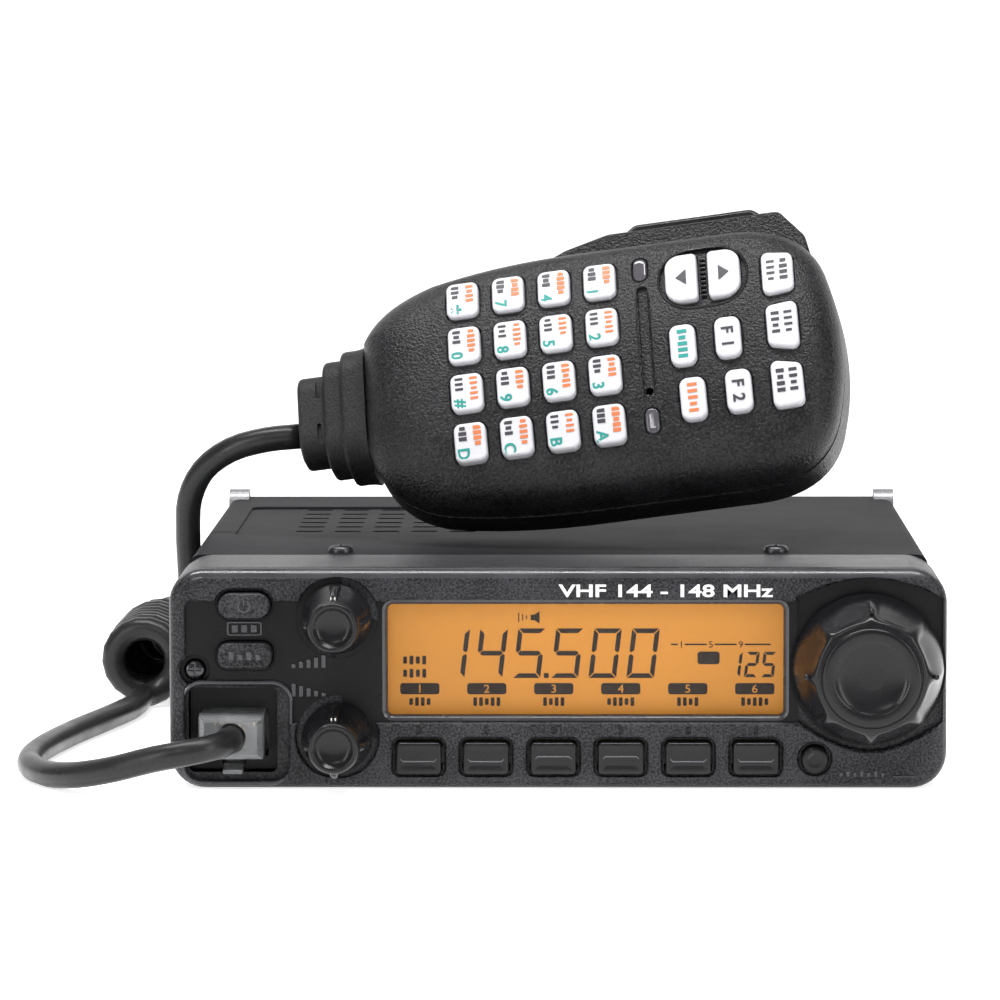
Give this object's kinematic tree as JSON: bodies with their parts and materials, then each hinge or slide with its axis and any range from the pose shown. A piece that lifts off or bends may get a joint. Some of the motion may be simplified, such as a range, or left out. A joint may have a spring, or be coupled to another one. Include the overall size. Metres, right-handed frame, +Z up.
{
  "type": "mobile transceiver",
  "caption": "Mobile two-way radio with an amber display, tuning dial, knobs and push keys, with its keypad hand microphone on a curly cord plugged into the front.",
  "frame": {"origin": "centre of the case's underside, on the surface it stands on", "axes": "+X right as seen from the front, +Y from the front panel to the rear, +Z up"},
  "size_m": [0.1697, 0.1989, 0.102],
  "materials": {
    "cast_metal": "as cast, satin",
    "case_paint": "smooth semi-matt paint",
    "panel_plastic": "fine spark-eroded texture",
    "knob_plastic": "satin",
    "clear_plastic": "clear, polished",
    "display_amber": "even amber glow",
    "circuit_board": "green solder resist",
    "plated_metal": "nickel plated",
    "key_white": "satin translucent white",
    "rubber": "matt black",
    "cord_jacket": "smooth satin jacket"
  },
  "bodies": {
    "radio": {"chassis": "cast_metal", "top_cover": "case_paint", "front_panel": "panel_plastic", "display_window": "clear_plastic", "lcd_panel": "display_amber", "control_board": "circuit_board", "main_board": "circuit_board", "speaker": "rubber", "dial_encoder": "plated_metal", "volume_pot": "plated_metal", "squelch_pot": "plated_metal", "mic_jack": "panel_plastic", "antenna_connector": "plated_metal", "power_gland": "rubber", "mic_plug": "clear_plastic", "cord_plug_end": "cord_jacket", "cord_coil": "cord_jacket", "cord_mic_end": "cord_jacket"},
    "mic": {"mic_front_shell": "panel_plastic", "mic_back_shell": "panel_plastic", "mic_boot": "rubber", "mic_board": "circuit_board"},
    "tuning_dial": {"tuning_dial": "knob_plastic"},
    "volume_knob": {"volume_knob": "knob_plastic"},
    "squelch_knob": {"squelch_knob": "knob_plastic"},
    "power_button": {"power_button": "knob_plastic"},
    "memory_button": {"memory_button": "knob_plastic"},
    "function_key_1": {"function_key_1": "knob_plastic"},
    "function_key_2": {"function_key_2": "knob_plastic"},
    "function_key_3": {"function_key_3": "knob_plastic"},
    "function_key_4": {"function_key_4": "knob_plastic"},
    "function_key_5": {"function_key_5": "knob_plastic"},
    "function_key_6": {"function_key_6": "knob_plastic"},
    "bank_button": {"bank_button": "knob_plastic"},
    "ptt_lever": {"ptt_lever": "rubber"},
    "keypad_key_star": {"keypad_key_star": "key_white"},
    "keypad_key_7": {"keypad_key_7": "key_white"},
    "keypad_key_4": {"keypad_key_4": "key_white"},
    "keypad_key_1": {"keypad_key_1": "key_white"},
    "keypad_key_0": {"keypad_key_0": "key_white"},
    "keypad_key_8": {"keypad_key_8": "key_white"},
    "keypad_key_5": {"keypad_key_5": "key_white"},
    "keypad_key_2": {"keypad_key_2": "key_white"},
    "keypad_key_pound": {"keypad_key_pound": "key_white"},
    "keypad_key_9": {"keypad_key_9": "key_white"},
    "keypad_key_6": {"keypad_key_6": "key_white"},
    "keypad_key_3": {"keypad_key_3": "key_white"},
    "keypad_key_d": {"keypad_key_d": "key_white"},
    "keypad_key_c": {"keypad_key_c": "key_white"},
    "keypad_key_b": {"keypad_key_b": "key_white"},
    "keypad_key_a": {"keypad_key_a": "key_white"},
    "down_key": {"down_key": "key_white"},
    "up_key": {"up_key": "key_white"},
    "small_key_1": {"small_key_1": "key_white"},
    "small_key_2": {"small_key_2": "key_white"},
    "small_key_3": {"small_key_3": "key_white"},
    "small_key_4": {"small_key_4": "key_white"},
    "side_key_1": {"side_key_1": "key_white"},
    "side_key_2": {"side_key_2": "key_white"},
    "side_key_3": {"side_key_3": "key_white"}
  },
  "joints": [
    {"name": "mic_lift", "type": "slide", "parent": "radio", "child": "mic", "axis": [0, 0, 1], "range_m": [0, 0.04]},
    {"name": "dial_turn", "type": "hinge", "parent": "radio", "child": "tuning_dial", "pos_m": [0.0557, -0.0795, 0.0219], "axis": [0, 1, 0], "continuous": true},
    {"name": "volume_turn", "type": "hinge", "parent": "radio", "child": "volume_knob", "pos_m": [-0.0397, -0.0808, 0.031], "axis": [0, 1, 0], "range_deg": [-150, 150]},
    {"name": "squelch_turn", "type": "hinge", "parent": "radio", "child": "squelch_knob", "pos_m": [-0.0397, -0.0808, 0.0095], "axis": [0, 1, 0], "range_deg": [-150, 150]},
    {"name": "power_button_press", "type": "slide", "parent": "radio", "child": "power_button", "axis": [0, 1, 0], "range_m": [0, 0.001], "stiffness_N_per_m": 400},
    {"name": "memory_button_press", "type": "slide", "parent": "radio", "child": "memory_button", "axis": [0, 1, 0], "range_m": [0, 0.001], "stiffness_N_per_m": 400},
    {"name": "function_key_1_press", "type": "slide", "parent": "radio", "child": "function_key_1", "axis": [0, 1, 0], "range_m": [0, 0.001], "stiffness_N_per_m": 400},
    {"name": "function_key_2_press", "type": "slide", "parent": "radio", "child": "function_key_2", "axis": [0, 1, 0], "range_m": [0, 0.001], "stiffness_N_per_m": 400},
    {"name": "function_key_3_press", "type": "slide", "parent": "radio", "child": "function_key_3", "axis": [0, 1, 0], "range_m": [0, 0.001], "stiffness_N_per_m": 400},
    {"name": "function_key_4_press", "type": "slide", "parent": "radio", "child": "function_key_4", "axis": [0, 1, 0], "range_m": [0, 0.001], "stiffness_N_per_m": 400},
    {"name": "function_key_5_press", "type": "slide", "parent": "radio", "child": "function_key_5", "axis": [0, 1, 0], "range_m": [0, 0.001], "stiffness_N_per_m": 400},
    {"name": "function_key_6_press", "type": "slide", "parent": "radio", "child": "function_key_6", "axis": [0, 1, 0], "range_m": [0, 0.001], "stiffness_N_per_m": 400},
    {"name": "bank_button_press", "type": "slide", "parent": "radio", "child": "bank_button", "axis": [0, 1, 0], "range_m": [0, 0.001], "stiffness_N_per_m": 400},
    {"name": "ptt_press", "type": "hinge", "parent": "mic", "child": "ptt_lever", "pos_m": [0.03743, -0.00808, 0.09654], "axis": [-0.174, -0.8681, 0.4649], "range_deg": [0, 5], "stiffness_Nm_per_rad": 0.3},
    {"name": "keypad_key_star_press", "type": "slide", "parent": "mic", "child": "keypad_key_star", "axis": [0.174, 0.8681, -0.4649], "range_m": [0, 0.0008], "stiffness_N_per_m": 400},
    {"name": "keypad_key_7_press", "type": "slide", "parent": "mic", "child": "keypad_key_7", "axis": [0.174, 0.8681, -0.4649], "range_m": [0, 0.0008], "stiffness_N_per_m": 400},
    {"name": "keypad_key_4_press", "type": "slide", "parent": "mic", "child": "keypad_key_4", "axis": [0.174, 0.8681, -0.4649], "range_m": [0, 0.0008], "stiffness_N_per_m": 400},
    {"name": "keypad_key_1_press", "type": "slide", "parent": "mic", "child": "keypad_key_1", "axis": [0.174, 0.8681, -0.4649], "range_m": [0, 0.0008], "stiffness_N_per_m": 400},
    {"name": "keypad_key_0_press", "type": "slide", "parent": "mic", "child": "keypad_key_0", "axis": [0.174, 0.8681, -0.4649], "range_m": [0, 0.0008], "stiffness_N_per_m": 400},
    {"name": "keypad_key_8_press", "type": "slide", "parent": "mic", "child": "keypad_key_8", "axis": [0.174, 0.8681, -0.4649], "range_m": [0, 0.0008], "stiffness_N_per_m": 400},
    {"name": "keypad_key_5_press", "type": "slide", "parent": "mic", "child": "keypad_key_5", "axis": [0.174, 0.8681, -0.4649], "range_m": [0, 0.0008], "stiffness_N_per_m": 400},
    {"name": "keypad_key_2_press", "type": "slide", "parent": "mic", "child": "keypad_key_2", "axis": [0.174, 0.8681, -0.4649], "range_m": [0, 0.0008], "stiffness_N_per_m": 400},
    {"name": "keypad_key_pound_press", "type": "slide", "parent": "mic", "child": "keypad_key_pound", "axis": [0.174, 0.8681, -0.4649], "range_m": [0, 0.0008], "stiffness_N_per_m": 400},
    {"name": "keypad_key_9_press", "type": "slide", "parent": "mic", "child": "keypad_key_9", "axis": [0.174, 0.8681, -0.4649], "range_m": [0, 0.0008], "stiffness_N_per_m": 400},
    {"name": "keypad_key_6_press", "type": "slide", "parent": "mic", "child": "keypad_key_6", "axis": [0.174, 0.8681, -0.4649], "range_m": [0, 0.0008], "stiffness_N_per_m": 400},
    {"name": "keypad_key_3_press", "type": "slide", "parent": "mic", "child": "keypad_key_3", "axis": [0.174, 0.8681, -0.4649], "range_m": [0, 0.0008], "stiffness_N_per_m": 400},
    {"name": "keypad_key_d_press", "type": "slide", "parent": "mic", "child": "keypad_key_d", "axis": [0.174, 0.8681, -0.4649], "range_m": [0, 0.0008], "stiffness_N_per_m": 400},
    {"name": "keypad_key_c_press", "type": "slide", "parent": "mic", "child": "keypad_key_c", "axis": [0.174, 0.8681, -0.4649], "range_m": [0, 0.0008], "stiffness_N_per_m": 400},
    {"name": "keypad_key_b_press", "type": "slide", "parent": "mic", "child": "keypad_key_b", "axis": [0.174, 0.8681, -0.4649], "range_m": [0, 0.0008], "stiffness_N_per_m": 400},
    {"name": "keypad_key_a_press", "type": "slide", "parent": "mic", "child": "keypad_key_a", "axis": [0.174, 0.8681, -0.4649], "range_m": [0, 0.0008], "stiffness_N_per_m": 400},
    {"name": "down_key_press", "type": "slide", "parent": "mic", "child": "down_key", "axis": [0.174, 0.8681, -0.4649], "range_m": [0, 0.0008], "stiffness_N_per_m": 400},
    {"name": "up_key_press", "type": "slide", "parent": "mic", "child": "up_key", "axis": [0.174, 0.8681, -0.4649], "range_m": [0, 0.0008], "stiffness_N_per_m": 400},
    {"name": "small_key_1_press", "type": "slide", "parent": "mic", "child": "small_key_1", "axis": [0.174, 0.8681, -0.4649], "range_m": [0, 0.0008], "stiffness_N_per_m": 400},
    {"name": "small_key_2_press", "type": "slide", "parent": "mic", "child": "small_key_2", "axis": [0.174, 0.8681, -0.4649], "range_m": [0, 0.0008], "stiffness_N_per_m": 400},
    {"name": "small_key_3_press", "type": "slide", "parent": "mic", "child": "small_key_3", "axis": [0.174, 0.8681, -0.4649], "range_m": [0, 0.0008], "stiffness_N_per_m": 400},
    {"name": "small_key_4_press", "type": "slide", "parent": "mic", "child": "small_key_4", "axis": [0.174, 0.8681, -0.4649], "range_m": [0, 0.0008], "stiffness_N_per_m": 400},
    {"name": "side_key_1_press", "type": "slide", "parent": "mic", "child": "side_key_1", "axis": [0.174, 0.8681, -0.4649], "range_m": [0, 0.0008], "stiffness_N_per_m": 400},
    {"name": "side_key_2_press", "type": "slide", "parent": "mic", "child": "side_key_2", "axis": [0.174, 0.8681, -0.4649], "range_m": [0, 0.0008], "stiffness_N_per_m": 400},
    {"name": "side_key_3_press", "type": "slide", "parent": "mic", "child": "side_key_3", "axis": [0.174, 0.8681, -0.4649], "range_m": [0, 0.0008], "stiffness_N_per_m": 400}
  ]
}
